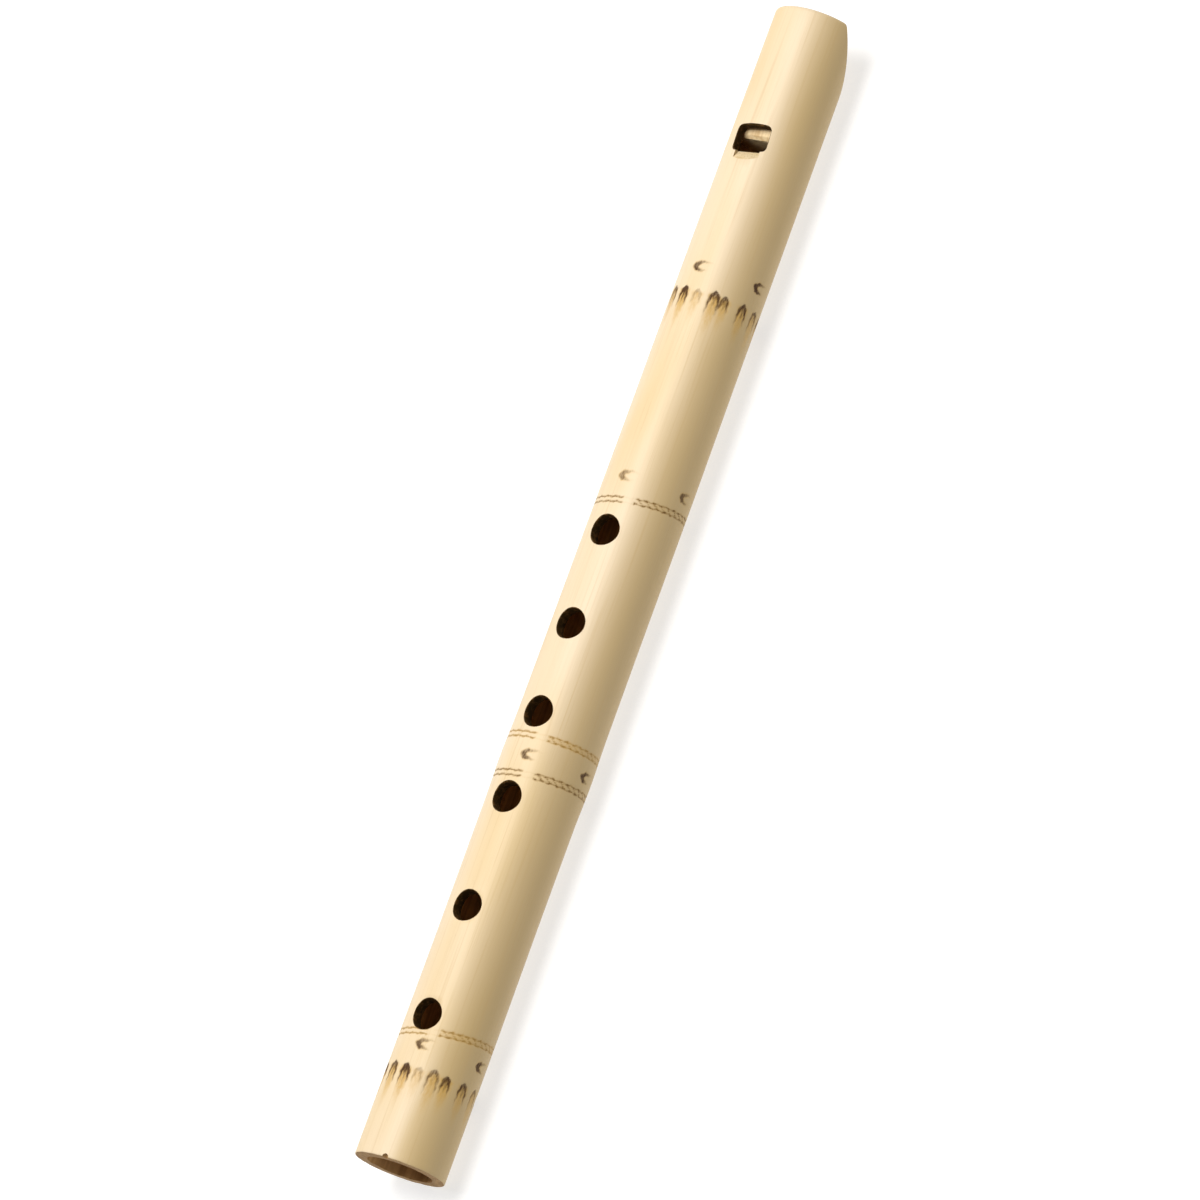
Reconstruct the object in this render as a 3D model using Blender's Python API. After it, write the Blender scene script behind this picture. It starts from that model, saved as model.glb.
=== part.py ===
"""A duct flute of cane: a tube with six finger holes and a sound window, and the plug in its mouth.

The flute lies along X on its back. +X points to the mouth end, +Z out of the finger holes.
The origin is below the middle of the flute, on the surface that it lies on.
Lengths along the flute are measured from its foot end or from its mouth end, as their names say.
"""

import math

import bmesh
import bpy
from mathutils import Matrix, Vector

MM = 0.001

# The cane: its length, and its outer radius at the mouth, in the middle and at the foot.
LENGTH = 300.0 * MM
MOUTH_RADIUS = 10.85 * MM
MIDDLE_RADIUS = 11.15 * MM
FOOT_RADIUS = 11.30 * MM
MIDDLE_FROM_FOOT = 140.0 * MM
MOUTH_ROUNDING = 1.0 * MM
FOOT_ROUNDING = 0.3 * MM

# The bore runs through the whole cane.
BORE_RADIUS = 8.25 * MM

# The joint of the cane: a low swelling outside, and the stub of its knocked-out wall inside.
JOINT_FROM_FOOT = 102.5 * MM
JOINT_SWELLING = 0.22 * MM
JOINT_HALF_WIDTH = 6.0 * MM
STUB_HEIGHT = 0.45 * MM
STUB_HALF_WIDTH = 1.6 * MM

# The finger holes: their places from the foot end, lowest note first.
FINGER_HOLE_RADIUS = 3.85 * MM
FINGER_HOLES_FROM_FOOT = (35.9 * MM, 63.8 * MM, 91.8 * MM, 113.9 * MM, 136.8 * MM, 161.2 * MM)

# The sound window, and the ramp that leads down to its lip. It is cut by hand, so it is
# turned a little round the cane from the row of finger holes, and lies a little askew.
WINDOW_FROM_MOUTH = 31.8 * MM
WINDOW_LENGTH = 6.6 * MM
WINDOW_WIDTH = 9.2 * MM
WINDOW_CORNER = 1.2 * MM
WINDOW_TURN = math.radians(3.0)
WINDOW_SKEW = math.radians(4.5)
RAMP_LENGTH = 2.6 * MM
RAMP_DEPTH = 1.9 * MM

# The plug. Its flat top is the floor of the windway, and its end stands out under the window.
WINDWAY_HEIGHT = 1.3 * MM
PLUG_CLEARANCE = 0.3 * MM
PLUG_REACH = 2.8 * MM
PLUG_CHAMFER = 0.8 * MM

# The beak: a flat cut across the back of the mouth end.
BEAK_TIP_THICKNESS = 7.7 * MM
BEAK_LENGTH = 23.5 * MM

# How finely round shapes are divided, and how far a cutter runs past what it cuts.
SIDES = 48
HOLE_SIDES = 32
CORNER_STEPS = 4
OVERRUN = 3.0 * MM

CANE_COLOUR = (0.86, 0.72, 0.48, 1.0)
PLUG_COLOUR = (0.74, 0.57, 0.34, 1.0)


def smooth_bump(distance, half_width):
    """A bell that is 1 in its middle and has faded to nothing at twice its half width."""
    reach = 2.0 * half_width
    if abs(distance) >= reach:
        return 0.0
    return 0.5 * (1.0 + math.cos(math.pi * distance / reach))


def cane_radius(from_foot):
    """Outer radius of the cane, with its two natural tapers and the swelling of its joint."""
    if from_foot < MIDDLE_FROM_FOOT:
        share = from_foot / MIDDLE_FROM_FOOT
        radius = FOOT_RADIUS + (MIDDLE_RADIUS - FOOT_RADIUS) * share
    else:
        share = (from_foot - MIDDLE_FROM_FOOT) / (LENGTH - MIDDLE_FROM_FOOT)
        radius = MIDDLE_RADIUS + (MOUTH_RADIUS - MIDDLE_RADIUS) * share
    return radius + JOINT_SWELLING * smooth_bump(from_foot - JOINT_FROM_FOOT, JOINT_HALF_WIDTH)


def bore_radius(from_foot):
    """Radius of the bore, less the stub of the cane's inner wall at its joint."""
    return BORE_RADIUS - STUB_HEIGHT * smooth_bump(from_foot - JOINT_FROM_FOOT, STUB_HALF_WIDTH)


def stations_round_joint(half_width):
    """Places along the cane where a bump at its joint needs a ring of points."""
    shares = (-2.0, -1.5, -1.0, -0.5, 0.0, 0.5, 1.0, 1.5, 2.0)
    return [JOINT_FROM_FOOT + share * half_width for share in shares]


def quarter_round(centre_from_foot, centre_radius, rounding, towards_foot):
    """Points of a quarter circle from the end face out to the side of the cane."""
    points = []
    for step in range(CORNER_STEPS + 1):
        angle = 0.5 * math.pi * step / CORNER_STEPS
        along = rounding * math.cos(angle)
        if towards_foot:
            along = -along
        points.append((centre_from_foot + along, centre_radius + rounding * math.sin(angle)))
    return points


def cane_profile():
    """Closed outline of the cane's wall, as distances from the foot end and radii."""
    foot = quarter_round(FOOT_ROUNDING, FOOT_RADIUS - FOOT_ROUNDING, FOOT_ROUNDING, True)
    mouth = quarter_round(LENGTH - MOUTH_ROUNDING, MOUTH_RADIUS - MOUTH_ROUNDING, MOUTH_ROUNDING, False)
    outside = sorted(stations_round_joint(JOINT_HALF_WIDTH) + [MIDDLE_FROM_FOOT])
    inside = stations_round_joint(STUB_HALF_WIDTH)
    profile = list(foot)
    profile += [(station, cane_radius(station)) for station in outside]
    profile += list(reversed(mouth))
    profile.append((LENGTH, BORE_RADIUS))
    profile += [(station, bore_radius(station)) for station in reversed(inside)]
    profile.append((0.0, BORE_RADIUS))
    return profile


# Half of one side's angle: the flute lies on the flat of a side, not on a corner.
HALF_SIDE = math.pi / SIDES
WIDEST_RADIUS = max(radius for _, radius in cane_profile())
AXIS_HEIGHT = WIDEST_RADIUS * math.cos(HALF_SIDE)


def on_axis(from_foot, across=0.0, above=0.0):
    """The point at a distance from the foot end, and across and above the flute's axis."""
    return Vector((from_foot - 0.5 * LENGTH, across, AXIS_HEIGHT + above))


def clear_scene():
    """Removes every object that the file starts with."""
    for thing in list(bpy.data.objects):
        bpy.data.objects.remove(thing, do_unlink=True)


def wood(name, colour, roughness):
    """A plain wood finish."""
    material = bpy.data.materials.new(name)
    material.use_nodes = True
    shader = material.node_tree.nodes["Principled BSDF"]
    shader.inputs["Base Color"].default_value = colour
    shader.inputs["Roughness"].default_value = roughness
    shader.inputs["Metallic"].default_value = 0.0
    material.diffuse_color = colour
    return material


def finish_object(name, bm, material=None):
    """Makes an object of a bmesh, with its faces pointing out and its round sides smooth."""
    bmesh.ops.recalc_face_normals(bm, faces=bm.faces[:])
    mesh = bpy.data.meshes.new(name)
    bm.to_mesh(mesh)
    bm.free()
    mesh.shade_smooth()
    mesh.set_sharp_from_angle(angle=math.radians(30.0))
    thing = bpy.data.objects.new(name, mesh)
    bpy.context.scene.collection.objects.link(thing)
    if material is None:
        thing.hide_render = True
        thing.display_type = "WIRE"
    else:
        mesh.materials.append(material)
    return thing


def cut(target, cutter):
    """Takes the cutter's shape out of the target."""
    modifier = target.modifiers.new("cut by " + cutter.name, "BOOLEAN")
    modifier.operation = "DIFFERENCE"
    modifier.solver = "EXACT"
    modifier.object = cutter


def turned_tube(name, profile, material):
    """Turns a closed outline about the flute's axis."""
    bm = bmesh.new()
    rim = [bm.verts.new(on_axis(from_foot, above=radius)) for from_foot, radius in profile]
    ring = [bm.edges.new((rim[i - 1], rim[i])) for i in range(len(rim))]
    axis = Vector((1.0, 0.0, 0.0))
    bmesh.ops.rotate(bm, verts=rim, cent=on_axis(0.0), matrix=Matrix.Rotation(HALF_SIDE, 3, axis))
    bmesh.ops.spin(
        bm,
        geom=rim + ring,
        cent=on_axis(0.0),
        axis=axis,
        angle=2.0 * math.pi,
        steps=SIDES,
        use_merge=True,
    )
    return finish_object(name, bm, material)


def finger_hole_cutter(from_foot):
    """A round bar square to the axis, from inside the bore out through the wall."""
    bar_length = WIDEST_RADIUS + OVERRUN
    bm = bmesh.new()
    bmesh.ops.create_cone(
        bm,
        cap_ends=True,
        segments=HOLE_SIDES,
        radius1=FINGER_HOLE_RADIUS,
        radius2=FINGER_HOLE_RADIUS,
        depth=bar_length,
        matrix=Matrix.Translation(on_axis(from_foot, above=0.5 * bar_length)),
    )
    return finish_object("finger_hole_cutter", bm)


def window_frame():
    """The place and turn of the sound window: its middle on the axis, with +Z out of the window."""
    middle = LENGTH - WINDOW_FROM_MOUTH - 0.5 * WINDOW_LENGTH
    turn = Matrix.Rotation(WINDOW_TURN, 4, "X")
    skew = Matrix.Rotation(WINDOW_SKEW, 4, "Z")
    return Matrix.Translation(on_axis(middle)) @ turn @ skew


def window_cutter():
    """A bar with rounded corners, as long and as wide as the sound window."""
    bar_length = WIDEST_RADIUS + OVERRUN
    bm = bmesh.new()
    bmesh.ops.create_cube(bm, size=1.0)
    bmesh.ops.scale(bm, verts=bm.verts[:], vec=(WINDOW_LENGTH, WINDOW_WIDTH, bar_length))
    bmesh.ops.translate(bm, verts=bm.verts[:], vec=(0.0, 0.0, 0.5 * bar_length))
    upright = [edge for edge in bm.edges if abs(edge.verts[0].co.z - edge.verts[1].co.z) > OVERRUN]
    bmesh.ops.bevel(
        bm,
        geom=upright,
        offset=WINDOW_CORNER,
        affect="EDGES",
        segments=CORNER_STEPS,
        profile=0.5,
        material=-1,
    )
    bmesh.ops.transform(bm, matrix=window_frame(), verts=bm.verts[:])
    return finish_object("window_cutter", bm)


def ramp_cutter():
    """A wedge whose slope falls from the outside of the cane to the lip of the window.

    It is as wide as the straight part of the lip, between the window's rounded corners.
    """
    top = cane_radius(LENGTH - WINDOW_FROM_MOUTH - WINDOW_LENGTH)
    slope = RAMP_DEPTH / RAMP_LENGTH
    ramp_width = WINDOW_WIDTH - 2.0 * WINDOW_CORNER
    lip = -0.5 * WINDOW_LENGTH
    section = (
        (lip + WINDOW_CORNER, top - RAMP_DEPTH - slope * WINDOW_CORNER),
        (lip - RAMP_LENGTH - OVERRUN, top + slope * OVERRUN),
        (lip + WINDOW_CORNER, top + slope * OVERRUN),
    )
    bm = bmesh.new()
    near = [bm.verts.new((along, -0.5 * ramp_width, above)) for along, above in section]
    face = bm.faces.new(near)
    swept = bmesh.ops.extrude_face_region(bm, geom=[face])
    far = [item for item in swept["geom"] if isinstance(item, bmesh.types.BMVert)]
    bmesh.ops.translate(bm, verts=far, vec=(0.0, ramp_width, 0.0))
    bmesh.ops.transform(bm, matrix=window_frame(), verts=bm.verts[:])
    return finish_object("ramp_cutter", bm)


def beak_cutter():
    """A block whose upper face is the flat of the beak."""
    tip = on_axis(LENGTH, above=cane_radius(LENGTH) - BEAK_TIP_THICKNESS)
    heel = on_axis(LENGTH - BEAK_LENGTH, above=-cane_radius(LENGTH - BEAK_LENGTH))
    fall = tip - heel
    angle = math.atan2(fall.z, fall.x)
    size = 2.0 * (fall.length + OVERRUN)
    bm = bmesh.new()
    bmesh.ops.create_cube(bm, size=size)
    bmesh.ops.translate(bm, verts=bm.verts[:], vec=(0.0, 0.0, -0.5 * size))
    bmesh.ops.rotate(bm, verts=bm.verts[:], matrix=Matrix.Rotation(-angle, 3, "Y"))
    bmesh.ops.translate(bm, verts=bm.verts[:], vec=0.5 * (tip + heel))
    return finish_object("beak_cutter", bm)


def slice_off(bm, point, outward):
    """Cuts off what lies beyond a plane, and closes the cut."""
    result = bmesh.ops.bisect_plane(
        bm,
        geom=bm.verts[:] + bm.edges[:] + bm.faces[:],
        plane_co=point,
        plane_no=outward.normalized(),
        clear_outer=True,
    )
    rim = [item for item in result["geom_cut"] if isinstance(item, bmesh.types.BMEdge)]
    bmesh.ops.edgeloop_fill(bm, edges=rim)


def plug(name, material):
    """The round plug with its flat windway floor and its chamfered end."""
    end_from_foot = LENGTH - WINDOW_FROM_MOUTH - PLUG_REACH
    plug_length = LENGTH - end_from_foot
    plug_radius = BORE_RADIUS - PLUG_CLEARANCE
    floor = BORE_RADIUS - WINDWAY_HEIGHT
    place = Matrix.Translation(on_axis(end_from_foot + 0.5 * plug_length))
    sides_in_step = Matrix.Rotation(HALF_SIDE, 4, "X")
    lie_along_x = Matrix.Rotation(0.5 * math.pi, 4, "Y")
    bm = bmesh.new()
    bmesh.ops.create_cone(
        bm,
        cap_ends=True,
        segments=SIDES,
        radius1=plug_radius,
        radius2=plug_radius,
        depth=plug_length,
        matrix=place @ sides_in_step @ lie_along_x,
    )
    slice_off(bm, on_axis(end_from_foot, above=floor), Vector((0.0, 0.0, 1.0)))
    slice_off(bm, on_axis(end_from_foot + PLUG_CHAMFER, above=floor), Vector((-1.0, 0.0, 1.0)))
    return finish_object(name, bm, material)


def main():
    """Builds the flute's two pieces."""
    clear_scene()
    cane = wood("cane", CANE_COLOUR, 0.45)
    plug_wood = wood("plug_wood", PLUG_COLOUR, 0.6)
    beak = beak_cutter()

    tube = turned_tube("flute_tube", cane_profile(), cane)
    for place in FINGER_HOLES_FROM_FOOT:
        cut(tube, finger_hole_cutter(place))
    cut(tube, window_cutter())
    cut(tube, ramp_cutter())
    cut(tube, beak)

    block = plug("fipple_block", plug_wood)
    cut(block, beak)


main()
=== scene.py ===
"""The dressed model of a duct flute of cane, with its burned ornament, plug and studio.

The flute lies along X on its back: +X points to the mouth end and +Z out of the finger holes.
Places along it are distances from its foot end. Places round it are angles from the row of
finger holes, in degrees, which grow towards -Y.
"""

import logging
import math
from dataclasses import dataclass, field, replace
from enum import Enum

import bmesh
import bpy
import numpy as np
from mathutils import Matrix, Vector, noise


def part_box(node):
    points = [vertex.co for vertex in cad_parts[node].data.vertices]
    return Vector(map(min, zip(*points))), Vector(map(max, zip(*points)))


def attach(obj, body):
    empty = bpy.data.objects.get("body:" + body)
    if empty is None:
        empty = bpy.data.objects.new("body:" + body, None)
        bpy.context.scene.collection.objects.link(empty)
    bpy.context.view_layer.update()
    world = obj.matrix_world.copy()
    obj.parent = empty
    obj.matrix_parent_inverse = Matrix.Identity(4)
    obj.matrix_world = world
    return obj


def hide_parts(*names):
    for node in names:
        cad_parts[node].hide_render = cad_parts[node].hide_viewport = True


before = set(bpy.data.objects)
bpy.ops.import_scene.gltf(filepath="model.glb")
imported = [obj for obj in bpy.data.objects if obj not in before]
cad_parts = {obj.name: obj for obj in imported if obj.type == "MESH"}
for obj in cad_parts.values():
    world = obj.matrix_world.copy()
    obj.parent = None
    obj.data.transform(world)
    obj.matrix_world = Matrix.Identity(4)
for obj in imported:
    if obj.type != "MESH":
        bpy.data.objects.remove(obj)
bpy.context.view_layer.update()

logging.basicConfig(level=logging.INFO, format="%(message)s")
LOG = logging.getLogger("flute")

MM = 0.001
FULL_TURN = 2.0 * math.pi

Colour = tuple[float, float, float]
Scale = tuple[float, float, float]
Number = float | bpy.types.NodeSocket
Tint = Colour | bpy.types.NodeSocket


class Surface(Enum):
    """The kinds of surface on the cane, in the order of its material slots."""

    SKIN = 0
    SCORCHED = 1
    CUT = 2
    BORE = 3
    PARED = 4


def smooth_step(value: np.ndarray) -> np.ndarray:
    """Eases values from 0 to 1, and holds them there."""
    share = np.clip(value, 0.0, 1.0)
    return share * share * (3.0 - 2.0 * share)


def soft_line(away: np.ndarray, width: np.ndarray | float, soft: float) -> np.ndarray:
    """A line that fades from 1 to 0 over its softness on each side of its half width."""
    return smooth_step((width + soft - away) / (2.0 * soft))


def smooth_bump(distance: float, half_width: float) -> float:
    """A bell that is 1 in its middle and fades to nothing at twice its half width.

    Args:
        distance: How far the place is from the middle of the bell.
        half_width: Where the bell has fallen to a half.

    Returns:
        The height of the bell, from 0 to 1.
    """
    reach = 2.0 * half_width
    if abs(distance) >= reach:
        return 0.0
    return 0.5 * (1.0 + math.cos(math.pi * distance / reach))


def quarter_turn(steps: int, start: float = 0.0) -> list[float]:
    """The angles of a quarter of a turn from a start, in radians and in even steps."""
    return [start + 0.5 * math.pi * step / steps for step in range(steps + 1)]


@dataclass(frozen=True)
class Span:
    """A range of numbers, from low to high, and the range that it is eased onto."""

    low: float
    high: float
    to_low: float = 0.0
    to_high: float = 1.0


@dataclass(frozen=True)
class Grain:
    """A noise in a finish, which is drawn out along the flute where its first scale is low.

    Attributes:
        scale: How fine the noise is along each axis, in waves to the metre.
        detail: How many finer layers it has.
        shown: How much of it shows, for each height of the noise.
    """

    scale: Scale
    detail: float
    shown: Span = Span(0.0, 1.0)


class NodeTree:
    """A short way to write a material's nodes.

    The sockets of the Mix node go by number, because its other kinds of value share their names.
    """

    MIX_COLOURS = (6, 7)
    MIX_RESULT = 2

    def __init__(self, name: str) -> None:
        """Starts a material with its Principled shader.

        Args:
            name: The material's name.
        """
        self.material = bpy.data.materials.new(name)
        self.material.use_nodes = True
        self.tree = self.material.node_tree
        self.shader = self.tree.nodes["Principled BSDF"]

    def put(self, node: bpy.types.Node, place: str | int, value: object) -> None:
        """Sets one input of a node.

        Args:
            node: The node.
            place: The input's name or number.
            value: Its value, or the output socket that feeds it.
        """
        if isinstance(value, bpy.types.NodeSocket):
            self.tree.links.new(value, node.inputs[place])
        else:
            node.inputs[place].default_value = value

    def add(self, kind: str, inputs: dict | None = None, **settings: object) -> bpy.types.Node:
        """Adds a node.

        Args:
            kind: The node's type name.
            inputs: Values or output sockets for its inputs, by name or number.
            **settings: Properties of the node itself.

        Returns:
            The new node.
        """
        node = self.tree.nodes.new(kind)
        for name, value in settings.items():
            setattr(node, name, value)
        for name, value in (inputs or {}).items():
            self.put(node, name, value)
        return node

    def math(self, operation: str, first: Number, second: Number) -> bpy.types.NodeSocket:
        """A sum, product or other operation on two numbers."""
        return self.add("ShaderNodeMath", {0: first, 1: second}, operation=operation).outputs[0]

    def weigh(self, parts: tuple[tuple[Number, float], ...]) -> bpy.types.NodeSocket:
        """The sum of two numbers that each have a weight."""
        first, second = (self.math("MULTIPLY", number, weight) for number, weight in parts)
        return self.math("ADD", first, second)

    def attribute(self, name: str) -> bpy.types.NodeSocket:
        """The number that the mesh keeps under a name."""
        return self.add("ShaderNodeAttribute", attribute_name=name).outputs["Fac"]

    def place(self, scale: Scale = (1.0, 1.0, 1.0)) -> bpy.types.NodeSocket:
        """Object coordinates, scaled along each axis.

        Args:
            scale: The scale along each axis.

        Returns:
            The scaled place.
        """
        place = self.add("ShaderNodeTexCoord").outputs["Object"]
        mapping = self.add("ShaderNodeMapping", {"Vector": place, "Scale": scale})
        return mapping.outputs["Vector"]

    def noise(self, grain: Grain) -> bpy.types.NodeSocket:
        """A grain's smooth noise, from 0 to 1."""
        inputs = {"Vector": self.place(grain.scale), "Scale": 1.0, "Detail": grain.detail}
        return self.add("ShaderNodeTexNoise", inputs).outputs["Fac"]

    def span(self, value: Number, span: Span) -> bpy.types.NodeSocket:
        """Maps a range of numbers onto another, held at its ends.

        Args:
            value: The number to map.
            span: The two ranges.

        Returns:
            The mapped number.
        """
        inputs = {
            "Value": value,
            "From Min": span.low,
            "From Max": span.high,
            "To Min": span.to_low,
            "To Max": span.to_high,
        }
        return self.add("ShaderNodeMapRange", inputs, interpolation_type="SMOOTHSTEP").outputs[0]

    def mix(self, share: Number, first: Tint, second: Tint) -> bpy.types.NodeSocket:
        """Blends two colours.

        Args:
            share: How much of the second colour there is.
            first: A colour, or an output socket.
            second: A colour, or an output socket.

        Returns:
            The blended colour.
        """
        inputs = {"Factor": share}
        for place, tint in zip(self.MIX_COLOURS, (first, second)):
            inputs[place] = tint if isinstance(tint, bpy.types.NodeSocket) else (*tint, 1.0)
        return self.add("ShaderNodeMix", inputs, data_type="RGBA").outputs[self.MIX_RESULT]

    def finish(
        self, colour: Tint, roughness: Number, specular: float, height: Number, depth: float
    ) -> bpy.types.Material:
        """Joins colour, roughness, shine and relief to the shader.

        Args:
            colour: The base colour's socket.
            roughness: The roughness, or its socket.
            specular: The strength of the shine.
            height: The relief's socket, from 0 to 1.
            depth: The relief's full depth in metres.

        Returns:
            The finished material.
        """
        bump = self.add("ShaderNodeBump", {"Height": height, "Distance": depth, "Strength": 1.0})
        self.put(self.shader, "Base Color", colour)
        self.put(self.shader, "Roughness", roughness)
        self.put(self.shader, "Specular IOR Level", specular)
        self.put(self.shader, "Normal", bump.outputs["Normal"])
        return self.material


@dataclass(frozen=True)
class SkinFinish:
    """The smooth skin of the cane, with its fibres, its patches, its burned ornament and painted shade that
    darkens its -Y side.
    """

    pale: Colour = (0.745, 0.605, 0.415)
    warm: Colour = (0.710, 0.545, 0.310)
    # Painted shade: the darker colour that the -Y side of the skin, away from the lights, is blended towards.
    painted_side_shade: Colour = (0.480, 0.340, 0.145)
    fibre: Colour = (0.520, 0.350, 0.150)
    toast: Colour = (0.540, 0.320, 0.070)
    char: Colour = (0.052, 0.017, 0.003)
    patches: Grain = Grain((14.0, 60.0, 60.0), 2.0, Span(0.35, 0.68))
    streaks: Grain = Grain((22.0, 1500.0, 1500.0), 4.0, Span(0.52, 0.78, 0.0, 0.34))
    fibres: Grain = Grain((60.0, 5200.0, 5200.0), 2.0, Span(0.55, 0.80, 0.0, 0.22))
    grit: Grain = Grain((900.0, 2600.0, 2600.0), 3.0, Span(0.3, 0.7, 0.80, 1.15))
    # Painted shade: how far towards -Y the darkening starts and where it is full, and its greatest share.
    painted_side_shade_reach: Span = Span(3.0 * MM, 11.5 * MM, 0.0, 0.85)
    toast_cover: Span = Span(0.0, 1.0, 0.0, 0.92)
    char_cover: Span = Span(0.05, 0.95, 0.0, 0.96)
    roughness: Span = Span(0.0, 1.0, 0.42, 0.75)
    specular: float = 0.25
    streak_relief: float = 0.6
    fibre_relief: float = 0.4
    char_relief: float = 0.8
    relief: float = 0.05 * MM

    def material(self) -> bpy.types.Material:
        """Builds the material.

        Returns:
            The material, which reads the mesh's char and toast.
        """
        nodes = NodeTree("cane_skin")
        streaks, fibres = nodes.noise(self.streaks), nodes.noise(self.fibres)
        side = nodes.add("ShaderNodeSeparateXYZ", {0: nodes.place()}).outputs["Y"]
        # Painted shade: the skin is darkened more the further it lies towards -Y, the side away from the
        # lights.
        painted_side_shade = nodes.span(nodes.math("MULTIPLY", side, -1.0), self.painted_side_shade_reach)
        body = nodes.mix(nodes.span(nodes.noise(self.patches), self.patches.shown), self.pale, self.warm)
        body = nodes.mix(painted_side_shade, body, self.painted_side_shade)
        body = nodes.mix(nodes.span(streaks, self.streaks.shown), body, self.fibre)
        body = nodes.mix(nodes.span(fibres, self.fibres.shown), body, self.fibre)
        uneven = nodes.span(nodes.noise(self.grit), self.grit.shown)
        toast = nodes.math("MULTIPLY", nodes.attribute("toast"), uneven)
        char = nodes.math("MULTIPLY", nodes.attribute("char"), uneven)
        body = nodes.mix(nodes.span(toast, self.toast_cover), body, self.toast)
        body = nodes.mix(nodes.span(char, self.char_cover), body, self.char)
        grain = nodes.weigh(((streaks, self.streak_relief), (fibres, self.fibre_relief)))
        height = nodes.math("SUBTRACT", grain, nodes.math("MULTIPLY", char, self.char_relief))
        return nodes.finish(body, nodes.span(char, self.roughness), self.specular, height, self.relief)


@dataclass(frozen=True)
class ScorchedFinish:
    """The walls of the finger holes and of the window, burned through with a hot iron."""

    dark: Colour = (0.055, 0.029, 0.008)
    brown: Colour = (0.190, 0.092, 0.026)
    patches: Grain = Grain((900.0, 900.0, 900.0), 4.0, Span(0.42, 0.75))
    roughness: Span = Span(0.3, 0.7, 0.95, 0.7)
    specular: float = 0.1
    relief: float = 0.12 * MM

    def material(self) -> bpy.types.Material:
        """Builds the material.

        Returns:
            The material.
        """
        nodes = NodeTree("scorched_wall")
        patches = nodes.noise(self.patches)
        colour = nodes.mix(nodes.span(patches, self.patches.shown), self.dark, self.brown)
        rough = nodes.span(patches, self.roughness)
        return nodes.finish(colour, rough, self.specular, patches, self.relief)


@dataclass(frozen=True)
class CutFinish:
    """Cut places of the cane: bare wood with the dark dots of its fibre bundles and saw marks."""

    name: str = "cut_cane"
    wood: Colour = (0.460, 0.275, 0.105)
    shade: Colour = (0.330, 0.180, 0.060)
    bundle: Colour = (0.120, 0.060, 0.020)
    patches: Grain = Grain((500.0, 500.0, 500.0), 3.0, Span(0.3, 0.7))
    saw: Grain = Grain((200.0, 200.0, 4200.0), 2.0)
    bundle_scale: Scale = (260.0, 2600.0, 2600.0)
    bundle_dots: Span = Span(0.18, 0.42, 0.75, 0.0)
    roughness: float = 0.85
    specular: float = 0.5
    saw_relief: float = 0.7
    bundle_relief: float = 0.3
    relief: float = 0.10 * MM

    def material(self) -> bpy.types.Material:
        """Builds the material.

        Returns:
            The material.
        """
        nodes = NodeTree(self.name)
        where = nodes.place(self.bundle_scale)
        dots = nodes.add("ShaderNodeTexVoronoi", {"Vector": where, "Scale": 1.0}).outputs["Distance"]
        colour = nodes.mix(nodes.span(nodes.noise(self.patches), self.patches.shown), self.wood, self.shade)
        colour = nodes.mix(nodes.span(dots, self.bundle_dots), colour, self.bundle)
        height = nodes.weigh(((nodes.noise(self.saw), self.saw_relief), (dots, self.bundle_relief)))
        return nodes.finish(colour, self.roughness, self.specular, height, self.relief)


@dataclass(frozen=True)
class BoreFinish:
    """The inside of the cane, browned and a little dusty."""

    light: Colour = (0.600, 0.360, 0.145)
    dark: Colour = (0.330, 0.165, 0.055)
    patches: Grain = Grain((40.0, 500.0, 500.0), 4.0, Span(0.3, 0.7))
    roughness: float = 0.85
    specular: float = 0.2
    relief: float = 0.08 * MM

    def material(self) -> bpy.types.Material:
        """Builds the material.

        Returns:
            The material.
        """
        nodes = NodeTree("bore_wall")
        patches = nodes.noise(self.patches)
        colour = nodes.mix(nodes.span(patches, self.patches.shown), self.light, self.dark)
        return nodes.finish(colour, self.roughness, self.specular, patches, self.relief)


@dataclass(frozen=True)
class PlugFinish:
    """The plain wood of the plug, with its grain along the flute."""

    pale: Colour = (0.760, 0.590, 0.340)
    ring: Colour = (0.540, 0.350, 0.150)
    streaks: Grain = Grain((60.0, 900.0, 1400.0), 3.0, Span(0.35, 0.70, 0.0, 0.8))
    pores: Grain = Grain((300.0, 5200.0, 5200.0), 2.0, Span(0.60, 0.80, 0.0, 0.5))
    roughness: float = 0.6
    specular: float = 0.5
    streak_relief: float = 0.5
    pore_relief: float = 0.5
    relief: float = 0.06 * MM

    def material(self) -> bpy.types.Material:
        """Builds the material.

        Returns:
            The material.
        """
        nodes = NodeTree("plug_wood")
        streaks, pores = nodes.noise(self.streaks), nodes.noise(self.pores)
        colour = nodes.mix(nodes.span(streaks, self.streaks.shown), self.pale, self.ring)
        colour = nodes.mix(nodes.span(pores, self.pores.shown), colour, self.ring)
        height = nodes.weigh(((streaks, self.streak_relief), (pores, self.pore_relief)))
        return nodes.finish(colour, self.roughness, self.specular, height, self.relief)


@dataclass(frozen=True)
class FloorFinish:
    """The plain pale floor, which glows a little as a lit sweep does."""

    colour: Colour = (0.40, 0.40, 0.403)
    glow_colour: Colour = (1.0, 1.0, 1.0)
    glow: float = 0.66
    roughness: float = 0.9

    def material(self) -> bpy.types.Material:
        """Builds the material.

        Returns:
            The material.
        """
        nodes = NodeTree("pale_floor")
        nodes.put(nodes.shader, "Base Color", (*self.colour, 1.0))
        nodes.put(nodes.shader, "Roughness", self.roughness)
        nodes.put(nodes.shader, "Emission Color", (*self.glow_colour, 1.0))
        nodes.put(nodes.shader, "Emission Strength", self.glow)
        return nodes.material


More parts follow.
